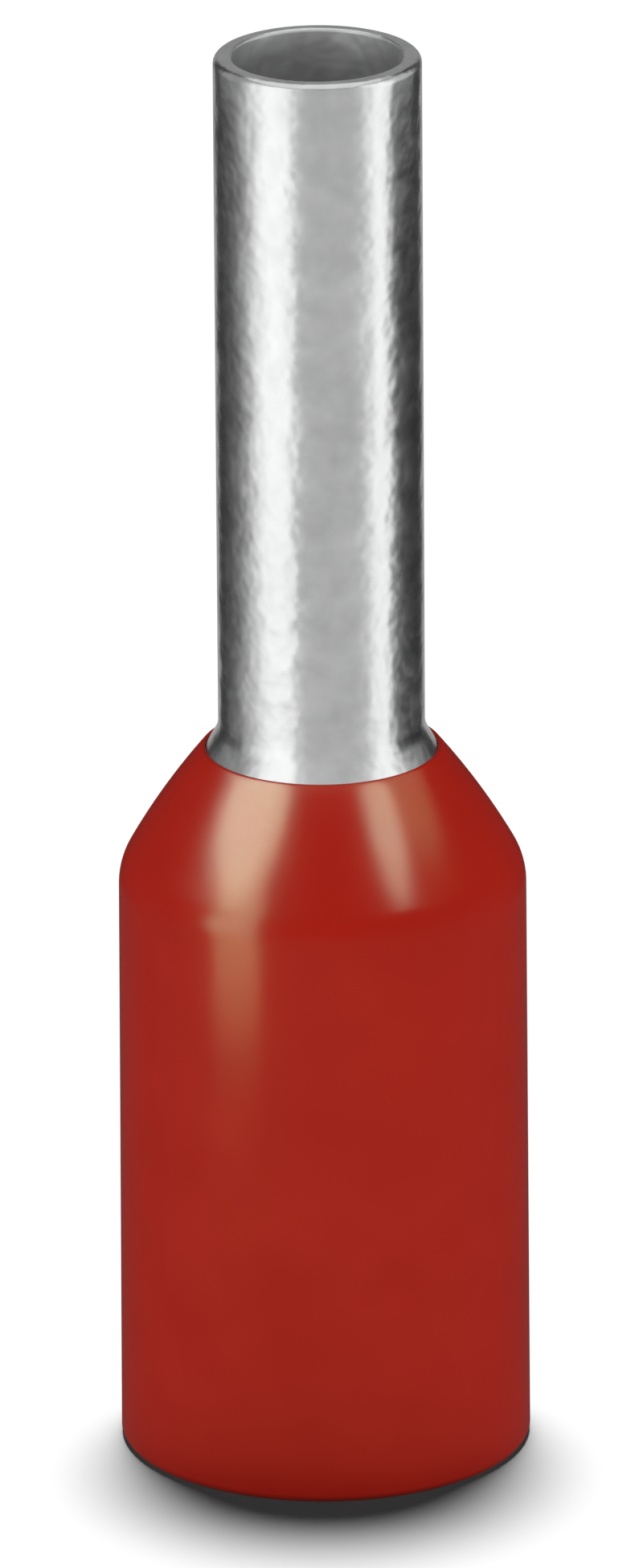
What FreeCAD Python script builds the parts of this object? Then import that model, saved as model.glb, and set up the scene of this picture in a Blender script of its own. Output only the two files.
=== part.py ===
"""Insulated wire ferrule: a tinned copper sleeve, flared at its rear end, held in a moulded plastic collar.

Millimetres. The origin is the centre of the collar's mouth, and +Z runs along the axis to the sleeve's tip.
"""
import FreeCAD, Part
import os
from enum import IntEnum
from math import cos, radians, sin, tan

import Sketcher

# name of the size, its value in millimetres or degrees, and what it measures
DRIVING_SIZES = [
    ("collar_length", 6.05, "collar, from its mouth to its neck edge"),
    ("collar_bore_diameter", 2.8, "bore that takes the wire's insulation"),
    ("collar_wall", 0.3, "collar wall at the mouth"),
    ("body_draft", 0.25, "mould draft of the collar's outside, opening to the mouth"),
    ("shoulder_spread", 4.3, "how much wider than the flare the shoulder opens"),
    ("shoulder_crown_radius", 6.0, "bulge of the shoulder between the neck edge and the body"),
    ("shoulder_edge_radius", 0.6, "rounding where the shoulder meets the body"),
    ("neck_lip", 0.03, "thickness of the collar's edge round the sleeve"),
    ("mouth_edge_radius", 0.08, "rounding of the mouth's outer edge"),
    ("mouth_lead_in", 0.09, "chamfer that guides the wire into the mouth"),
    ("sleeve_length", 5.95, "sleeve, from the collar's neck edge to the tip"),
    ("sleeve_outer_diameter", 1.7, "outside of the straight sleeve"),
    ("sleeve_wall", 0.15, "wall of the sleeve"),
    ("flare_angle", 30.0, "half angle of the sleeve's funnel and of its seat in the collar"),
    ("flare_bend_radius", 0.25, "bend from the straight tube into the funnel, on the outside"),
    ("flare_reveal", 0.1, "how far the funnel has opened where it enters the collar"),
    ("flare_end_clearance", 0.03, "between the funnel's rim and the collar's bore"),
    ("seat_clearance", 0.005, "between the funnel and its seat"),
    ("tip_edge_radius", 0.07, "rounding of the tip's outer edge"),
    ("tip_bore_radius", 0.03, "rounding of the tip's inner edge"),
]

# sizes that follow from the driving ones, in the order in which they are worked out
DERIVED_SIZES = [
    ("sleeve_outer_radius", "sleeve_outer_diameter / 2"),
    ("funnel_entry_radius", "sleeve_outer_radius + flare_reveal"),
    ("bore_radius", "collar_bore_diameter / 2"),
    ("funnel_rim_radius", "bore_radius - flare_end_clearance"),
    ("seat_entry_radius", "funnel_entry_radius + seat_clearance / cos(flare_angle * 1 deg)"),
    ("neck_radius", "seat_entry_radius + neck_lip"),
    ("mouth_radius", "bore_radius + collar_wall"),
    ("shoulder_angle", "flare_angle + shoulder_spread"),
    ("shoulder_corner", "90 + shoulder_angle"),
    ("mouth_corner", "90 - body_draft"),
    ("funnel_corner", "180 - flare_angle"),
]


class Spot(IntEnum):
    """Places on a sketch element that a constraint can hold."""

    START = 1
    END = 2
    CENTRE = 3


class Reference(IntEnum):
    """The sketch's own origin and its vertical axis, which is the part's axis."""

    ORIGIN = -1
    AXIS = -2


def make_sheet(doc):
    """Writes every size to a sheet, each under its own name."""
    sheet = doc.addObject("Spreadsheet::Sheet", "Sizes")
    for row, (name, value, meaning) in enumerate(DRIVING_SIZES, start=1):
        sheet.set(f"A{row}", meaning)
        sheet.set(f"B{row}", str(value))
        sheet.setAlias(f"B{row}", name)
    for row, (name, formula) in enumerate(DERIVED_SIZES, start=len(DRIVING_SIZES) + 1):
        sheet.set(f"B{row}", f"={formula}")
        sheet.setAlias(f"B{row}", name)
    doc.recompute()
    return sheet


def section_sketch(body, name):
    """A sketch in the body's XZ plane: its first axis is the radius, its second the height."""
    sketch = body.newObject("Sketcher::SketchObject", name)
    plane = next(feature for feature in body.Origin.OriginFeatures if feature.Role == "XZ_Plane")
    sketch.AttachmentSupport = (plane, [""])
    sketch.MapMode = "FlatFace"
    return sketch


def point(radius, height):
    return FreeCAD.Vector(radius, height, 0)


def line(sketch, start, end):
    return sketch.addGeometry(Part.LineSegment(point(*start), point(*end)), False)


def arc(sketch, start, middle, end):
    return sketch.addGeometry(Part.Arc(point(*start), point(*middle), point(*end)), False)


def relate(sketch, kind, *elements):
    sketch.addConstraint(Sketcher.Constraint(kind, *elements))


def drive_from_axis(sketch, sheet, size, element, spot):
    """Ties the radius at which a place of the section lies to a size of the sheet."""
    drive(sketch, sheet, size, "DistanceX", Reference.ORIGIN, Spot.START, element, spot)


def drive(sketch, sheet, size, kind, *elements):
    """Adds a dimension and ties it to the size of that name in the sheet."""
    value = sheet.get(size)
    expression = f"Sizes.{size}"
    if kind == "Angle":
        value = radians(value)
        expression += " * 1 deg"
    index = sketch.addConstraint(Sketcher.Constraint(kind, *elements, value))
    sketch.renameConstraint(index, size)
    sketch.setExpression(f"Constraints.{size}", expression)


def close_loop(sketch, elements, tangent=()):
    """Joins the end of each element to the start of the next, smoothly where the pair is named in tangent."""
    for first, second in zip(elements, elements[1:] + elements[:1]):
        kind = "Tangent" if (first, second) in tangent else "Coincident"
        first_end, second_start = joined_ends(sketch, first, second)
        relate(sketch, kind, first, first_end, second, second_start)


def joined_ends(sketch, first, second, first_ends=(Spot.START, Spot.END)):
    """The ends at which two neighbours meet, whichever way round each was drawn."""
    def distance(ends):
        return (sketch.getPoint(first, ends[0]) - sketch.getPoint(second, ends[1])).Length

    return min(((a, b) for a in first_ends for b in (Spot.START, Spot.END)), key=distance)


def turn(body, kind, name, sketch):
    """Turns a section once round the body's axis, to add (Revolution) or to take away (Groove)."""
    feature = body.newObject(kind, name)
    feature.Profile = sketch
    feature.ReferenceAxis = (sketch, ["V_Axis"])
    feature.Angle = 360
    return feature


def circle_edge(shape, radius, height):
    """The name of the round edge that lies nearest to this radius and height."""
    def distance(numbered):
        curve = numbered[1].Curve
        if not isinstance(curve, Part.Circle):
            return float("inf")
        return abs(curve.Radius - radius) + abs(curve.Center.z - height)

    index, _ = min(enumerate(shape.Edges, start=1), key=distance)
    return f"Edge{index}"


def dress(doc, body, kind, name, size_property, size, radius, height):
    """Rounds or chamfers one round edge of the body's last feature, found by where it lies."""
    doc.recompute()
    base = body.Tip
    feature = body.newObject(kind, name)
    feature.Base = (base, [circle_edge(base.Shape, radius, height)])
    feature.setExpression(size_property, f"Sizes.{size}")
    body.Tip = feature


def make_collar(doc, sheet):
    """Moulded collar: a thin-walled tube whose shoulder closes in to a thin edge round the sleeve."""
    body = doc.addObject("PartDesign::Body", "Collar")
    body.Label = "insulating_collar"
    length = sheet.get("collar_length")
    neck = sheet.get("neck_radius")
    mouth = sheet.get("mouth_radius")
    slope = radians(sheet.get("shoulder_angle"))
    rounding = sheet.get("shoulder_edge_radius")
    foot = length - (mouth - neck) / tan(slope)
    reach = rounding * tan(slope / 2)
    shoulder_end = (mouth - reach * sin(slope), foot + reach * cos(slope))
    chord_length = (length - shoulder_end[1]) / cos(slope)
    bulge = chord_length**2 / (8 * sheet.get("shoulder_crown_radius"))
    chord_middle = ((neck + shoulder_end[0]) / 2, (length + shoulder_end[1]) / 2)
    crown = (chord_middle[0] + bulge * cos(slope), chord_middle[1] + bulge * sin(slope))
    corner = (mouth - rounding * (1 - cos(slope / 2)), foot - reach + rounding * sin(slope / 2))

    outside = section_sketch(body, "outside_section")
    axis = line(outside, (0, 0), (0, length))
    edge = line(outside, (0, length), (neck, length))
    shoulder = arc(outside, (neck, length), crown, shoulder_end)
    shoulder_edge = arc(outside, shoulder_end, corner, (mouth, foot - reach))
    wall = line(outside, (mouth, foot - reach), (mouth, 0))
    floor = line(outside, (mouth, 0), (0, 0))
    close_loop(
        outside,
        [axis, edge, shoulder, shoulder_edge, wall, floor],
        tangent=[(shoulder, shoulder_edge), (shoulder_edge, wall)],
    )
    relate(outside, "Coincident", axis, Spot.START, Reference.ORIGIN, Spot.START)
    relate(outside, "PointOnObject", axis, Spot.END, Reference.AXIS)
    relate(outside, "Horizontal", edge)
    relate(outside, "Horizontal", floor)
    chord = outside.addGeometry(Part.LineSegment(point(neck, length), point(*shoulder_end)), True)
    relate(outside, "Coincident", chord, Spot.START, edge, Spot.END)
    _, chord_end = joined_ends(outside, chord, shoulder, first_ends=[Spot.END])
    relate(outside, "Coincident", chord, Spot.END, shoulder, chord_end)
    drive(outside, sheet, "collar_length", "DistanceY", axis, Spot.START, axis, Spot.END)
    drive_from_axis(outside, sheet, "neck_radius", edge, Spot.END)
    drive_from_axis(outside, sheet, "mouth_radius", wall, Spot.END)
    drive(outside, sheet, "shoulder_corner", "Angle", edge, Spot.END, chord, Spot.START)
    drive(outside, sheet, "mouth_corner", "Angle", wall, Spot.END, floor, Spot.START)
    drive(outside, sheet, "shoulder_crown_radius", "Radius", shoulder)
    drive(outside, sheet, "shoulder_edge_radius", "Radius", shoulder_edge)
    form = turn(body, "PartDesign::Revolution", "outer_form", outside)
    doc.recompute()

    bore = sheet.get("bore_radius")
    seat_entry = sheet.get("seat_entry_radius")
    seat_foot = length - (bore - seat_entry) / tan(radians(sheet.get("flare_angle")))
    inside = section_sketch(body, "inside_section")
    axis = line(inside, (0, length), (0, 0))
    mouth_line = line(inside, (0, 0), (bore, 0))
    bore_line = line(inside, (bore, 0), (bore, seat_foot))
    seat = line(inside, (bore, seat_foot), (seat_entry, length))
    top = line(inside, (seat_entry, length), (0, length))
    close_loop(inside, [axis, mouth_line, bore_line, seat, top])
    relate(inside, "Coincident", axis, Spot.END, Reference.ORIGIN, Spot.START)
    relate(inside, "PointOnObject", axis, Spot.START, Reference.AXIS)
    relate(inside, "Horizontal", mouth_line)
    relate(inside, "Vertical", bore_line)
    relate(inside, "Horizontal", top)
    drive(inside, sheet, "collar_length", "DistanceY", axis, Spot.END, axis, Spot.START)
    drive_from_axis(inside, sheet, "bore_radius", bore_line, Spot.START)
    drive_from_axis(inside, sheet, "seat_entry_radius", seat, Spot.END)
    drive(inside, sheet, "funnel_corner", "Angle", seat, Spot.START, bore_line, Spot.END)
    hollow = turn(body, "PartDesign::Groove", "wire_funnel", inside)
    doc.recompute()
    if hollow.Shape.Volume >= form.Shape.Volume:
        raise RuntimeError("the collar's bore cuts nothing")

    dress(doc, body, "PartDesign::Fillet", "mouth_edge", "Radius", "mouth_edge_radius", mouth, 0)
    dress(doc, body, "PartDesign::Chamfer", "mouth_chamfer", "Size", "mouth_lead_in", bore, 0)
    body.Placement = FreeCAD.Placement()
    return body


def make_sleeve(doc, sheet):
    """Drawn tube of even wall, bent open into a funnel at its rear end.

    It is drawn with its height measured from the collar's neck edge, where the funnel enters the collar.
    """
    body = doc.addObject("PartDesign::Body", "Sleeve")
    body.Label = "contact_sleeve"
    tip = sheet.get("sleeve_length")
    outer = sheet.get("sleeve_outer_radius")
    wall = sheet.get("sleeve_wall")
    inner = outer - wall
    bend = sheet.get("flare_bend_radius")
    slope = radians(sheet.get("flare_angle"))
    entry = sheet.get("funnel_entry_radius")
    rim = sheet.get("funnel_rim_radius")
    bend_height = (entry - outer) / tan(slope) + bend * tan(slope / 2)
    rim_height = (entry - rim) / tan(slope)
    inner_rim = (rim - wall * cos(slope), rim_height - wall * sin(slope))

    def on_bend(radius, turned):
        return outer + bend - radius * cos(turned), bend_height - radius * sin(turned)

    def bend_arc(section, radius):
        return arc(section, on_bend(radius, 0), on_bend(radius, slope / 2), on_bend(radius, slope))

    section = section_sketch(body, "wall_section")
    outside = line(section, (outer, tip), on_bend(bend, 0))
    outside_bend = bend_arc(section, bend)
    funnel_outside = line(section, on_bend(bend, slope), (rim, rim_height))
    funnel_rim = line(section, (rim, rim_height), inner_rim)
    funnel_inside = line(section, inner_rim, on_bend(bend + wall, slope))
    inside_bend = bend_arc(section, bend + wall)
    inside = line(section, on_bend(bend + wall, 0), (inner, tip))
    tip_ring = line(section, (inner, tip), (outer, tip))
    close_loop(
        section,
        [outside, outside_bend, funnel_outside, funnel_rim, funnel_inside, inside_bend, inside, tip_ring],
        tangent=[(outside, outside_bend), (outside_bend, funnel_outside),
                 (funnel_inside, inside_bend), (inside_bend, inside)],
    )
    relate(section, "Vertical", outside)
    relate(section, "Horizontal", tip_ring)
    relate(section, "Coincident", outside_bend, Spot.CENTRE, inside_bend, Spot.CENTRE)
    relate(section, "Vertical", inside)
    relate(section, "Perpendicular", funnel_outside, funnel_rim)
    relate(section, "Parallel", funnel_outside, funnel_inside)
    entry_point = section.addGeometry(Part.Point(point(entry, 0)), True)
    relate(section, "PointOnObject", entry_point, Spot.START, funnel_outside)
    relate(section, "PointOnObject", entry_point, Spot.START, Reference.ORIGIN)
    drive(section, sheet, "sleeve_length", "DistanceY", Reference.ORIGIN, Spot.START, tip_ring, Spot.END)
    drive_from_axis(section, sheet, "sleeve_outer_radius", tip_ring, Spot.END)
    drive(section, sheet, "sleeve_wall", "DistanceX", tip_ring, Spot.START, tip_ring, Spot.END)
    drive(section, sheet, "flare_bend_radius", "Radius", outside_bend)
    drive_from_axis(section, sheet, "funnel_entry_radius", entry_point, Spot.START)
    drive(section, sheet, "funnel_corner", "Angle", funnel_outside, Spot.START, outside, Spot.END)
    drive_from_axis(section, sheet, "funnel_rim_radius", funnel_outside, Spot.END)
    turn(body, "PartDesign::Revolution", "flared_tube", section)

    dress(doc, body, "PartDesign::Fillet", "tip_edge", "Radius", "tip_edge_radius", outer, tip)
    dress(doc, body, "PartDesign::Fillet", "tip_bore", "Radius", "tip_bore_radius", inner, tip)
    body.setExpression("Placement.Base.z", "Sizes.collar_length")
    return body


def check(doc, bodies):
    """Stops before anything is written if a feature failed or a shape isn't one valid solid."""
    doc.recompute()
    for item in doc.Objects:
        if "Invalid" in item.State or "Error" in item.State:
            raise RuntimeError(f"{item.Label} failed: {item.State}")
    for body in bodies:
        if body.Shape.isNull() or not body.Shape.isValid() or len(body.Shape.Solids) != 1:
            raise RuntimeError(f"{body.Label} isn't one valid solid")


def main():
    doc = FreeCAD.newDocument("WireFerrule")
    sheet = make_sheet(doc)
    bodies = [make_collar(doc, sheet), make_sleeve(doc, sheet)]
    check(doc, bodies)
    os.makedirs("parts", exist_ok=True)
    for body in bodies:
        body.Shape.exportStep(f"parts/{body.Label}.step")
        print(f"{body.Label}: {body.Shape.Volume:.3f} mm3")


main()
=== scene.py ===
import math

import bmesh
import bpy
from mathutils import Matrix, Vector


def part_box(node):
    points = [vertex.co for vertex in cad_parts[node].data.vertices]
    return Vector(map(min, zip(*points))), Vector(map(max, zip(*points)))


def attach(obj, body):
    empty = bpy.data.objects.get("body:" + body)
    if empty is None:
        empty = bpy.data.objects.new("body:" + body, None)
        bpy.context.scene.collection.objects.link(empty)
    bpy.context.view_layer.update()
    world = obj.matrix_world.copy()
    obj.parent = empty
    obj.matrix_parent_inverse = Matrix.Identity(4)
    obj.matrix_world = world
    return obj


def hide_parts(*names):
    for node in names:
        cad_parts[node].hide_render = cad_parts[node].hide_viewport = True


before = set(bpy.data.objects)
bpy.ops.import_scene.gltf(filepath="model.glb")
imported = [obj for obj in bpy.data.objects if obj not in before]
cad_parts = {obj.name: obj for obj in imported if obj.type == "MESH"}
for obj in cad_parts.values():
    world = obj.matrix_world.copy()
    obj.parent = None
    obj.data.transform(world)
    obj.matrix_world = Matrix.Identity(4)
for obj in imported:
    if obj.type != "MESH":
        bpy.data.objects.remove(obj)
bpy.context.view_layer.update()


# Insulating collar. A thin-walled sleeve of red plastic, injection moulded in one piece and pushed over the
# contact sleeve's flared end. Its shoulder closes in to a thin edge that grips the metal, and the wire goes
# in at the open mouth on which the ferrule stands.
MM = 0.001
ROUND_STEPS = 256
MERGE_DISTANCE = 0.0001 * MM
RING_TOLERANCE = 0.0005 * MM
QUARTER_TURN = math.radians(90)
PLASTIC_RED = (0.352, 0.0120, 0.0062)
PLASTIC_SHINE = (0.84, 1.0, 0.69, 1)
PLASTIC_ROUGHNESS = (0.21, 0.24)
_, collar_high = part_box("insulating_collar")
collar_height = collar_high.z
mouth_radius = collar_high.x
mouth_rounding = 0.08 * MM
collar_bore = 1.4 * MM
bore_chamfer = 0.09 * MM
edge_softness = 0.008 * MM
draft = math.radians(0.25)
corner_radius = 0.6 * MM
crown_radius = 6.0 * MM
# read off the pack's solid: the neck, the seat's foot, where the corner begins, and how far up the walls face
# at the end of the corner and of the crown
neck_outer_radius = 0.9858 * MM
neck_inner_radius = 0.9558 * MM
seat_foot_height = 5.2806 * MM
corner_foot = Vector((1.6788 * MM, 0, 4.8560 * MM))
corner_top_normal = math.radians(29.06)
crown_top_normal = math.radians(39.54)


def along(angle):
    """The direction at an angle above the outward one, in the plane of a section."""
    return Vector((math.cos(angle), 0, math.sin(angle)))


def start_section(radius, height):
    """Begins the section of a turned piece, and returns its mesh and its first point."""
    mesh = bmesh.new()
    return mesh, mesh.verts.new((radius, 0, height))


def wall_to(mesh, point, radius, height, rows=1):
    """Draws a straight wall from a point to a radius and a height, in rows, and returns its end."""
    row = (Vector((radius, 0, height)) - point.co) / rows
    for _ in range(rows):
        end = bmesh.ops.extrude_vert_indiv(mesh, verts=[point])["verts"][0]
        end.co = point.co + row
        point = end
    return point


def bend_about(mesh, point, centre, turn, rows):
    """Draws an arc from a point about a centre, counterclockwise to the camera, and returns its end."""
    made = bmesh.ops.spin(mesh, geom=[point], cent=centre, axis=(0, -1, 0), angle=turn, steps=rows)
    return next(item for item in made["geom_last"] if isinstance(item, bmesh.types.BMVert))


def turn_section(mesh, first, last):
    """Closes a section and spins it once round the part's axis."""
    mesh.edges.new((last, first))
    bmesh.ops.spin(mesh, geom=mesh.verts[:] + mesh.edges[:], cent=(0, 0, 0), axis=(0, 0, 1), angle=math.tau,
                   steps=ROUND_STEPS, use_merge=True)
    bmesh.ops.remove_doubles(mesh, verts=mesh.verts, dist=MERGE_DISTANCE)


def soften_ring(mesh, radius, height, width):
    """Takes the sharpness off the ring of edges at a radius and a height."""
    ring = [edge for edge in mesh.edges
            if all(abs(vert.co.z - height) < RING_TOLERANCE
                   and abs(vert.co.xy.length - radius) < RING_TOLERANCE for vert in edge.verts)]
    bmesh.ops.bevel(mesh, geom=ring, offset=width, affect="EDGES", segments=2, profile=0.5, material=-1)


def finish_piece(name, mesh):
    """Makes the object of a piece from its mesh, smooth and with its faces outwards."""
    bmesh.ops.recalc_face_normals(mesh, faces=mesh.faces)
    for face in mesh.faces:
        face.smooth = True
    data = bpy.data.meshes.new(name)
    mesh.to_mesh(data)
    mesh.free()
    piece = bpy.data.objects.new(name, data)
    bpy.context.scene.collection.objects.link(piece)
    return piece


mesh, first = start_section(mouth_radius - mouth_rounding, 0)
point = bend_about(mesh, first, (mouth_radius - mouth_rounding, 0, mouth_rounding), QUARTER_TURN, rows=10)
point = wall_to(mesh, point, corner_foot.x, corner_foot.z, rows=24)
corner_centre = corner_foot - along(draft) * corner_radius
point = bend_about(mesh, point, corner_centre, corner_top_normal - draft, rows=10)
crown_centre = point.co - along(corner_top_normal) * crown_radius
point = bend_about(mesh, point, crown_centre, crown_top_normal - corner_top_normal, rows=12)
point.co = (neck_outer_radius, 0, collar_height)
point = wall_to(mesh, point, neck_inner_radius, collar_height)
point = wall_to(mesh, point, collar_bore, seat_foot_height, rows=6)
point = wall_to(mesh, point, collar_bore, bore_chamfer, rows=24)
point = wall_to(mesh, point, collar_bore + bore_chamfer, 0)
turn_section(mesh, first, point)
for radius, height in (
    (neck_outer_radius, collar_height), (neck_inner_radius, collar_height), (collar_bore, seat_foot_height),
    (collar_bore, bore_chamfer), (collar_bore + bore_chamfer, 0),
):
    soften_ring(mesh, radius, height, edge_softness)
collar = finish_piece("insulating_collar_moulding", mesh)


def number_socket(tree, name, value):
    """One number that goes into an effect's group, with its default."""
    socket = tree.interface.new_socket(name, in_out="INPUT", socket_type="NodeSocketFloat")
    socket.default_value = value


def make_mottle_group():
    """Irregular patches with finer grains among them, as a mask from 0 to 1."""
    tree = bpy.data.node_groups.new("surface_mottle", "ShaderNodeTree")
    number_socket(tree, "Patches per mm", 3.0)
    number_socket(tree, "Grains per mm", 20.0)
    number_socket(tree, "Grain share", 0.1)
    tree.interface.new_socket("Mask", in_out="OUTPUT", socket_type="NodeSocketFloat")
    inside = tree.nodes.new("NodeGroupInput")
    outside = tree.nodes.new("NodeGroupOutput")
    coordinates = tree.nodes.new("ShaderNodeTexCoord")
    masks = []
    for socket in ("Patches per mm", "Grains per mm"):
        scale = tree.nodes.new("ShaderNodeMath")
        scale.operation = "MULTIPLY"
        scale.inputs[1].default_value = 1 / MM
        noise = tree.nodes.new("ShaderNodeTexNoise")
        noise.inputs["Detail"].default_value = 1.0
        tree.links.new(inside.outputs[socket], scale.inputs[0])
        tree.links.new(coordinates.outputs["Object"], noise.inputs["Vector"])
        tree.links.new(scale.outputs[0], noise.inputs["Scale"])
        masks.append(noise.outputs["Fac"])
    blend = tree.nodes.new("ShaderNodeMix")
    blend.data_type = "FLOAT"
    tree.links.new(inside.outputs["Grain share"], blend.inputs["Factor"])
    tree.links.new(masks[0], blend.inputs["A"])
    tree.links.new(masks[1], blend.inputs["B"])
    tree.links.new(blend.outputs["Result"], outside.inputs["Mask"])
    return tree


mottle = make_mottle_group()
MASK_LOW, MASK_HIGH = 0.3, 0.7


def new_material(name):
    """A material with its nodes, its links and its shader."""
    material = bpy.data.materials.new(name)
    material.use_nodes = True
    nodes, links = material.node_tree.nodes, material.node_tree.links
    return material, nodes, links, nodes["Principled BSDF"]


def add_mottle(nodes, patches, grains, share):
    """The mottle group placed in a material, with its own values."""
    node = nodes.new("ShaderNodeGroup")
    node.node_tree = mottle
    node.inputs["Patches per mm"].default_value = patches
    node.inputs["Grains per mm"].default_value = grains
    node.inputs["Grain share"].default_value = share
    return node.outputs["Mask"]


def vary_colour(nodes, links, mask, colour, amount, socket):
    """Feeds a colour to a socket, darker and lighter by this share where the mask is low and high."""
    node = nodes.new("ShaderNodeValToRGB")
    places = zip(node.color_ramp.elements, (MASK_LOW, MASK_HIGH), (1 - amount, 1 + amount))
    for element, place, factor in places:
        element.position = place
        element.color = (*(channel * factor for channel in colour), 1)
    links.new(mask, node.inputs["Fac"])
    links.new(node.outputs["Color"], socket)


def vary_number(nodes, links, mask, low, high):
    """Maps a mask's middle to a range of values."""
    node = nodes.new("ShaderNodeMapRange")
    node.inputs["From Min"].default_value = MASK_LOW
    node.inputs["From Max"].default_value = MASK_HIGH
    node.inputs["To Min"].default_value = low
    node.inputs["To Max"].default_value = high
    links.new(mask, node.inputs["Value"])
    return node.outputs["Result"]


def add_unevenness(nodes, links, mask, height, shader):
    """Feeds a mask to the shader as hollows and swells of this height in metres."""
    bump = nodes.new("ShaderNodeBump")
    bump.inputs["Strength"].default_value = 1.0
    bump.inputs["Distance"].default_value = height
    links.new(mask, bump.inputs["Height"])
    links.new(bump.outputs["Normal"], shader.inputs["Normal"])


red_plastic, nodes, links, shader = new_material("red_plastic")
shader.inputs["Specular IOR Level"].default_value = 0.3
shader.inputs["Specular Tint"].default_value = PLASTIC_SHINE
mask = add_mottle(nodes, patches=1.6, grains=12.0, share=0.04)
vary_colour(nodes, links, mask, PLASTIC_RED, amount=0.03, socket=shader.inputs["Base Color"])
links.new(vary_number(nodes, links, mask, *PLASTIC_ROUGHNESS), shader.inputs["Roughness"])
add_unevenness(nodes, links, mask, height=0.002 * MM, shader=shader)
collar.data.materials.append(red_plastic)
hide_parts("insulating_collar")
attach(collar, "root")
# the collar gives no red light back to the white floor
collar.visible_diffuse = False


# Contact sleeve. A short length of seamless copper tube with an even wall, tinned all over and crimped on
# the strands in use. Its tip is cut square and lightly deburred, and its rear end is flared into a funnel that
# shows just above the collar and seats on the cone inside it.
TIN = (0.66, 0.67, 0.665)
TIN_ROUGHNESS = (0.24, 0.31)
BORE_ROUGHNESS = 0.5
sleeve_low, sleeve_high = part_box("contact_sleeve")
tip_height = sleeve_high.z
sleeve_radius = 0.85 * MM
sleeve_wall = 0.15 * MM
sleeve_bore = sleeve_radius - sleeve_wall
bore_surface_reach = sleeve_bore + 0.01 * MM
tip_edge = 0.07 * MM
tip_bore_edge = 0.03 * MM
flare_angle = math.radians(30)
flare_bend = 0.25 * MM
bend_centre = Vector((sleeve_radius + flare_bend, 0, collar_height + 0.2402 * MM))
outer_rim = Vector((sleeve_high.x, 0, sleeve_low.z + sleeve_wall * math.sin(flare_angle)))
inner_rim = outer_rim - along(flare_angle) * sleeve_wall
outer_bend_foot = bend_centre - along(flare_angle) * flare_bend

mesh, first = start_section(outer_rim.x, outer_rim.z)
point = wall_to(mesh, first, outer_bend_foot.x, outer_bend_foot.z, rows=8)
point = bend_about(mesh, point, bend_centre, -flare_angle, rows=10)
point = wall_to(mesh, point, sleeve_radius, tip_height - tip_edge, rows=30)
point = bend_about(mesh, point, (sleeve_radius - tip_edge, 0, tip_height - tip_edge), QUARTER_TURN, rows=6)
point = wall_to(mesh, point, sleeve_bore + tip_bore_edge, tip_height, rows=2)
tip_bore_centre = (sleeve_bore + tip_bore_edge, 0, tip_height - tip_bore_edge)
point = bend_about(mesh, point, tip_bore_centre, QUARTER_TURN, rows=5)
point = wall_to(mesh, point, sleeve_bore, bend_centre.z, rows=30)
point = bend_about(mesh, point, bend_centre, flare_angle, rows=10)
point = wall_to(mesh, point, inner_rim.x, inner_rim.z, rows=6)
turn_section(mesh, first, point)
soften_ring(mesh, outer_rim.x, outer_rim.z, edge_softness)
soften_ring(mesh, inner_rim.x, inner_rim.z, edge_softness)
sleeve = finish_piece("contact_sleeve_tube", mesh)


def inside_radius(nodes, links, radius):
    """A mask that is 1 nearer to the part's axis than this radius."""
    place = nodes.new("ShaderNodeTexCoord")
    flat = nodes.new("ShaderNodeVectorMath")
    flat.operation = "MULTIPLY"
    flat.inputs[1].default_value = (1, 1, 0)
    reach = nodes.new("ShaderNodeVectorMath")
    reach.operation = "LENGTH"
    within = nodes.new("ShaderNodeMath")
    within.operation = "LESS_THAN"
    within.inputs[1].default_value = radius
    links.new(place.outputs["Object"], flat.inputs[0])
    links.new(flat.outputs["Vector"], reach.inputs[0])
    links.new(reach.outputs["Value"], within.inputs[0])
    return within.outputs[0]


tinned_copper, nodes, links, shader = new_material("tinned_copper")
shader.inputs["Metallic"].default_value = 1.0
mask = add_mottle(nodes, patches=2.5, grains=6.5, share=0.5)
vary_colour(nodes, links, mask, TIN, amount=0.09, socket=shader.inputs["Base Color"])
finish = nodes.new("ShaderNodeMix")
finish.data_type = "FLOAT"
finish.inputs["B"].default_value = BORE_ROUGHNESS
links.new(inside_radius(nodes, links, bore_surface_reach), finish.inputs["Factor"])
links.new(vary_number(nodes, links, mask, *TIN_ROUGHNESS), finish.inputs["A"])
links.new(finish.outputs["Result"], shader.inputs["Roughness"])
add_unevenness(nodes, links, mask, height=0.016 * MM, shader=shader)
sleeve.data.materials.append(tinned_copper)
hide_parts("contact_sleeve")
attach(sleeve, "root")


# Floor. One sheet of matt white board under the ferrule, large enough to fill the whole picture. It keeps the
# ferrule's shadow.
FLOOR_HALF = 400 * MM
FLOOR_WHITE = (0.98, 0.98, 0.98, 1)


def stage_piece(name, mesh, material):
    """A piece of the studio, made from a bmesh."""
    data = bpy.data.meshes.new(name)
    mesh.to_mesh(data)
    mesh.free()
    data.materials.append(material)
    piece = bpy.data.objects.new(name, data)
    bpy.context.scene.collection.objects.link(piece)
    return piece


floor_paint, nodes, links, shader = new_material("floor_paint")
shader.inputs["Base Color"].default_value = FLOOR_WHITE
shader.inputs["Roughness"].default_value = 0.9
shader.inputs["Specular IOR Level"].default_value = 0.0
mesh = bmesh.new()
bmesh.ops.create_grid(mesh, x_segments=1, y_segments=1, size=FLOOR_HALF)
floor = stage_piece("floor", mesh, floor_paint)


# Camera. A long lens at the photograph's height, leaning a little, with the ferrule filling the tall frame. Its
# shift puts the ferrule's axis on the photograph's pixel.
FRAME_WIDTH, FRAME_HEIGHT = 800, 1952
PIXELS_PER_MM = 151.4
ELEVATION = math.radians(19.8)
LEAN = math.radians(0.37)
DISTANCE = 150 * MM
AXIS_PIXEL = (400.3, 934.2)
AIM_HEIGHT = 6.0 * MM

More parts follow.
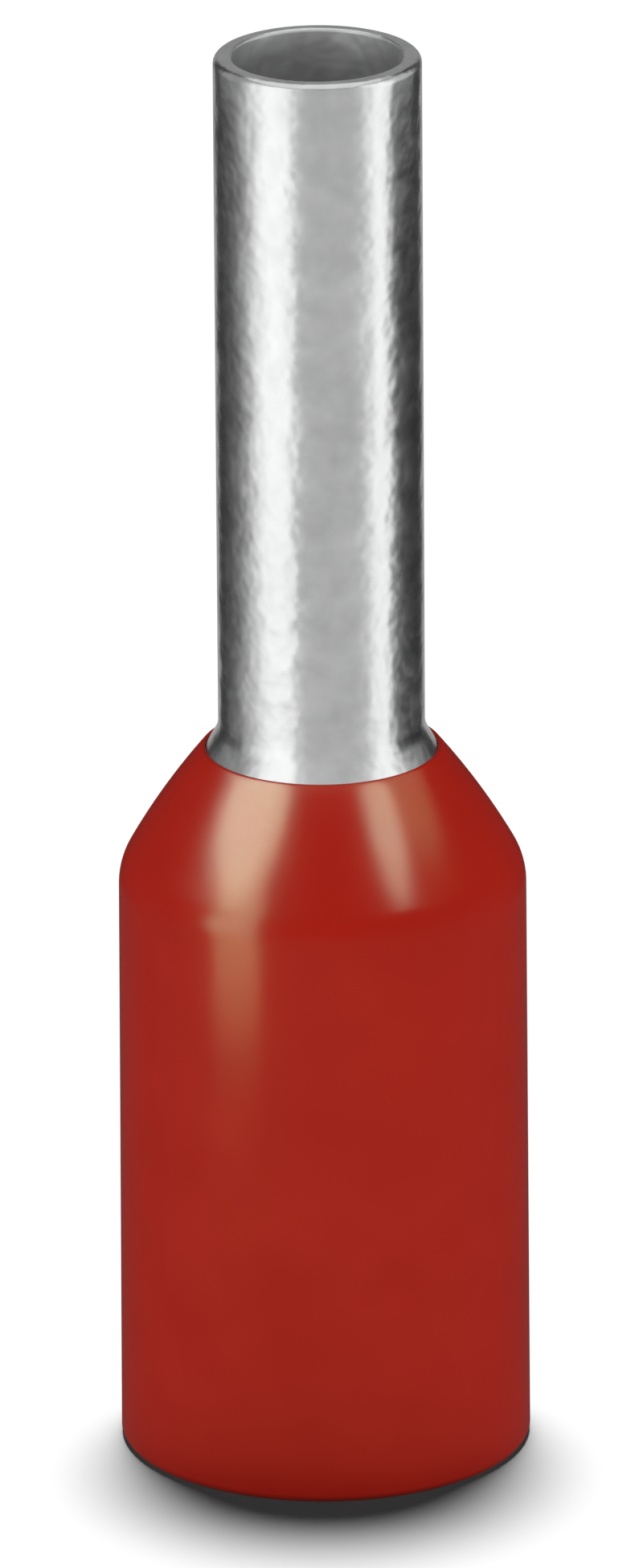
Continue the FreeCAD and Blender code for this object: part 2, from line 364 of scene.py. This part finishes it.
back = Vector((0, -math.cos(ELEVATION), math.sin(ELEVATION)))
up = Vector((0, math.sin(ELEVATION), math.cos(ELEVATION)))
camera_data = bpy.data.cameras.new("camera")
camera_data.sensor_width = 36.0
camera_data.lens = camera_data.sensor_width * DISTANCE / (FRAME_HEIGHT / PIXELS_PER_MM * MM)
camera_data.shift_x = (FRAME_WIDTH / 2 - AXIS_PIXEL[0]) / FRAME_HEIGHT
camera_data.shift_y = (AXIS_PIXEL[1] - FRAME_HEIGHT / 2) / FRAME_HEIGHT
camera_data.clip_start = 10 * MM
camera_data.clip_end = 10.0
camera = bpy.data.objects.new("camera", camera_data)
upright = Matrix((Vector((1, 0, 0)), up, back)).transposed()
camera.matrix_world = (
    Matrix.Translation(Vector((0, 0, AIM_HEIGHT)) + back * DISTANCE)
    @ (upright @ Matrix.Rotation(-LEAN, 3, "Z")).to_4x4()
)
bpy.context.scene.collection.objects.link(camera)
bpy.context.scene.camera = camera


# Light. A dim dome, one broad lamp high behind the ferrule that draws its shadow on the floor, soft boxes for
# the plastic, and a row of upright strips for the tin to mirror. A dark tent round them keeps the white floor
# out of the gloss. Azimuth 0 is the camera's side, and 90 the right.
DOME_LEVEL = 0.03
STRIP_DISTANCE = 14 * MM
STRIP_TOP = 25 * MM
LOWER_SPLIT, UPPER_SPLIT = 7.5 * MM, 10.5 * MM
TENT_RADIUS = 16 * MM
TENT_HEIGHT = 30 * MM
TENT_SIDES = 96
TENT_FLOOR_HEIGHT = 0.004 * MM
TENT_WALL_LEVEL = 0.025
TENT_FLOOR_LEVEL = 0.06
EVEN_COUNT = 5
SHOULDER_DISTANCE, SHOULDER_AIM = 13 * MM, 5.4 * MM
BODY_DISTANCE = 8 * MM
ORANGE = (1.3, 1.0, 0.68)
PALE_ORANGE = (1.05, 1, 0.85)

world = bpy.data.worlds.new("dome")
bpy.context.scene.world = world
world.use_nodes = True
nodes, links = world.node_tree.nodes, world.node_tree.links
dome = nodes["Background"]
dome.inputs["Color"].default_value = (1, 1, 1, 1)
path = nodes.new("ShaderNodeLightPath")
seen_or_glossy = nodes.new("ShaderNodeMath")
seen_or_glossy.operation = "MAXIMUM"
or_through = nodes.new("ShaderNodeMath")
or_through.operation = "MAXIMUM"
level = nodes.new("ShaderNodeMapRange")
level.inputs["To Min"].default_value = DOME_LEVEL
level.inputs["To Max"].default_value = 1.0
links.new(path.outputs["Is Camera Ray"], seen_or_glossy.inputs[0])
links.new(path.outputs["Is Glossy Ray"], seen_or_glossy.inputs[1])
links.new(seen_or_glossy.outputs[0], or_through.inputs[0])
links.new(path.outputs["Is Transmission Ray"], or_through.inputs[1])
links.new(or_through.outputs[0], level.inputs["Value"])
links.new(level.outputs["Result"], dome.inputs["Strength"])


def lit_group(name, *pieces):
    """A collection of the pieces that a lamp lights."""
    group = bpy.data.collections.new(name)
    for piece in pieces:
        group.objects.link(piece)
    return group


def soft_box(name, azimuth, elevation, distance, width, height, level, aim, lit, roll=0, colour=(1, 1, 1)):
    """An oval area light that faces a height on the axis and lights one group.

    Its level is how bright the box looks, with 1 as white. A roll turns it in its own plane, in degrees.
    """
    data = bpy.data.lights.new(name, "AREA")
    data.shape = "ELLIPSE"
    data.size = width
    data.size_y = height
    data.energy = level * math.pi * width * height * math.pi / 4
    data.color = colour
    lamp = bpy.data.objects.new(name, data)
    turn, rise = math.radians(azimuth), math.radians(elevation)
    away = Vector((math.sin(turn) * math.cos(rise), -math.cos(turn) * math.cos(rise), math.sin(rise)))
    lamp.matrix_world = (
        Matrix.Translation(Vector((0, 0, aim)) + away * distance)
        @ away.to_track_quat("Z", "Y").to_matrix().to_4x4()
        @ Matrix.Rotation(math.radians(roll), 4, "Z")
    )
    bpy.context.scene.collection.objects.link(lamp)
    lamp.visible_camera = False
    lamp.light_linking.receiver_collection = lit
    return lamp


def strip(name, start, end, foot, top, level):
    """An upright soft box for the tin, between two azimuths in degrees and two heights."""
    width = 2 * STRIP_DISTANCE * math.tan(math.radians(end - start) / 2)
    lamp = soft_box(name, (start + end) / 2, 0, STRIP_DISTANCE, width, top - foot, level,
                    aim=(foot + top) / 2, lit=sleeve_only)
    lamp.data.shape = "RECTANGLE"
    lamp.data.energy = level * math.pi * width * (top - foot)


# only the collar casts a shadow on the floor, so that it keeps to the ferrule's foot
floor_only = lit_group("floor_only", floor)
collar_only = lit_group("collar_only", collar)
overhead = soft_box("overhead", 180, 78.4, 800 * MM, 200 * MM, 240 * MM, 55.2, aim=0, lit=floor_only)
overhead.light_linking.blocker_collection = collar_only

# an even ring gives the plastic its plain level, and the shines show only in its polish: a key and its halo on
# the left of the shoulder, a fill and its glow on the right, and three boxes one above the other down the body
for number in range(EVEN_COUNT):
    even = soft_box(f"even_{number}", number * 360 / EVEN_COUNT, 30, 80 * MM, 66 * MM, 66 * MM, 2.6,
                    aim=3 * MM, lit=collar_only)
    even.visible_glossy = False
    even.data.cycles.use_multiple_importance_sampling = False
shines = [
    soft_box("key", -67.5, 46, SHOULDER_DISTANCE, 10.4 * MM, 8.6 * MM, 13.0, SHOULDER_AIM, collar_only),
    soft_box("key_halo", -75, 50, SHOULDER_DISTANCE, 15 * MM, 10 * MM, 4.4, SHOULDER_AIM, collar_only),
    soft_box("fill", 56, 45.6, SHOULDER_DISTANCE, 4.6 * MM, 8.0 * MM, 12.5, SHOULDER_AIM, collar_only,
             roll=-24),
    soft_box("fill_glow", 89, 43, SHOULDER_DISTANCE, 9 * MM, 7 * MM, 2.8, SHOULDER_AIM, collar_only,
             colour=ORANGE),
    soft_box("low_key_top", -47.5, 0, BODY_DISTANCE, 3.8 * MM, 6.0 * MM, 9.6, 7.4 * MM, collar_only,
             colour=PALE_ORANGE),
    soft_box("low_key", -45, 0, BODY_DISTANCE, 3.5 * MM, 2.0 * MM, 6.8, 3.4 * MM, collar_only,
             colour=ORANGE),
    soft_box("low_key_foot", -45, 0, BODY_DISTANCE, 3.5 * MM, 0.4 * MM, 9.0, 2.2 * MM, collar_only,
             colour=ORANGE),
]
for body_shine in shines[-3:]:
    body_shine.data.shape = "RECTANGLE"
for shine in shines:
    shine.visible_diffuse = False
    shine.data.cycles.use_multiple_importance_sampling = False

# each strip's start and end azimuth, its foot and top, and its level; the splits part the light that the flare
# and the rim mirror from the barrel's
sleeve_only = lit_group("sleeve_only", sleeve)
STRIPS = [
    (-128, -110, 0, LOWER_SPLIT, 0.04), (-110, -98, 0, LOWER_SPLIT, 0.10),
    (-128, -98, LOWER_SPLIT, UPPER_SPLIT, 0.22), (-128, -98, UPPER_SPLIT, STRIP_TOP, 0.36),
    (-98, -86, 0, STRIP_TOP, 0.27), (-86, -76, 0, STRIP_TOP, 0.60), (-76, -66, 0, STRIP_TOP, 1.04),
    (-66, -28, 0, STRIP_TOP, 1.44), (-28, 10, 0, STRIP_TOP, 0.57), (10, 46, 0, STRIP_TOP, 0.57),
    (46, 54, 0, STRIP_TOP, 0.74), (54, 62, 0, STRIP_TOP, 1.08), (62, 82.5, 0, STRIP_TOP, 1.48),
    (82.5, 90, 0, UPPER_SPLIT, 0.2), (82.5, 90, UPPER_SPLIT, STRIP_TOP, 1.2),
    (92, 126, LOWER_SPLIT, UPPER_SPLIT, 0.22), (92, 126, UPPER_SPLIT, STRIP_TOP, 0.6),
    (150, 180, 0, UPPER_SPLIT, 0.5), (150, 180, UPPER_SPLIT, STRIP_TOP, 0.3),
    (-180, -150, 0, UPPER_SPLIT, 0.5), (-180, -150, UPPER_SPLIT, STRIP_TOP, 0.3),
]
for number, strip_edges in enumerate(STRIPS):
    strip(f"strip_{number}", *strip_edges)
soft_box("from_below", 0, -90, 5 * MM, 28 * MM, 28 * MM, 0.6, aim=5.01 * MM, lit=sleeve_only)


def dark_card(name, mesh, level):
    """A dark surface that only gloss shows: the camera and plain light pass through it."""
    material, nodes, links, shader = new_material(name)
    nodes.remove(shader)
    glow = nodes.new("ShaderNodeEmission")
    glow.inputs["Strength"].default_value = level
    links.new(glow.outputs[0], nodes["Material Output"].inputs["Surface"])
    card = stage_piece(name, mesh, material)
    card.visible_camera = False
    card.visible_diffuse = False
    card.visible_transmission = False
    card.visible_volume_scatter = False
    card.visible_shadow = False


mesh = bmesh.new()
bmesh.ops.create_cone(mesh, cap_ends=False, segments=TENT_SIDES, radius1=TENT_RADIUS,
                      radius2=TENT_RADIUS, depth=TENT_HEIGHT,
                      matrix=Matrix.Translation((0, 0, TENT_HEIGHT / 2)))
dark_card("tent_wall", mesh, TENT_WALL_LEVEL)
mesh = bmesh.new()
bmesh.ops.create_circle(mesh, cap_ends=True, segments=TENT_SIDES, radius=TENT_RADIUS,
                        matrix=Matrix.Translation((0, 0, TENT_FLOOR_HEIGHT)))
dark_card("tent_floor", mesh, TENT_FLOOR_LEVEL)


bpy.context.scene.view_settings.view_transform = "Standard"
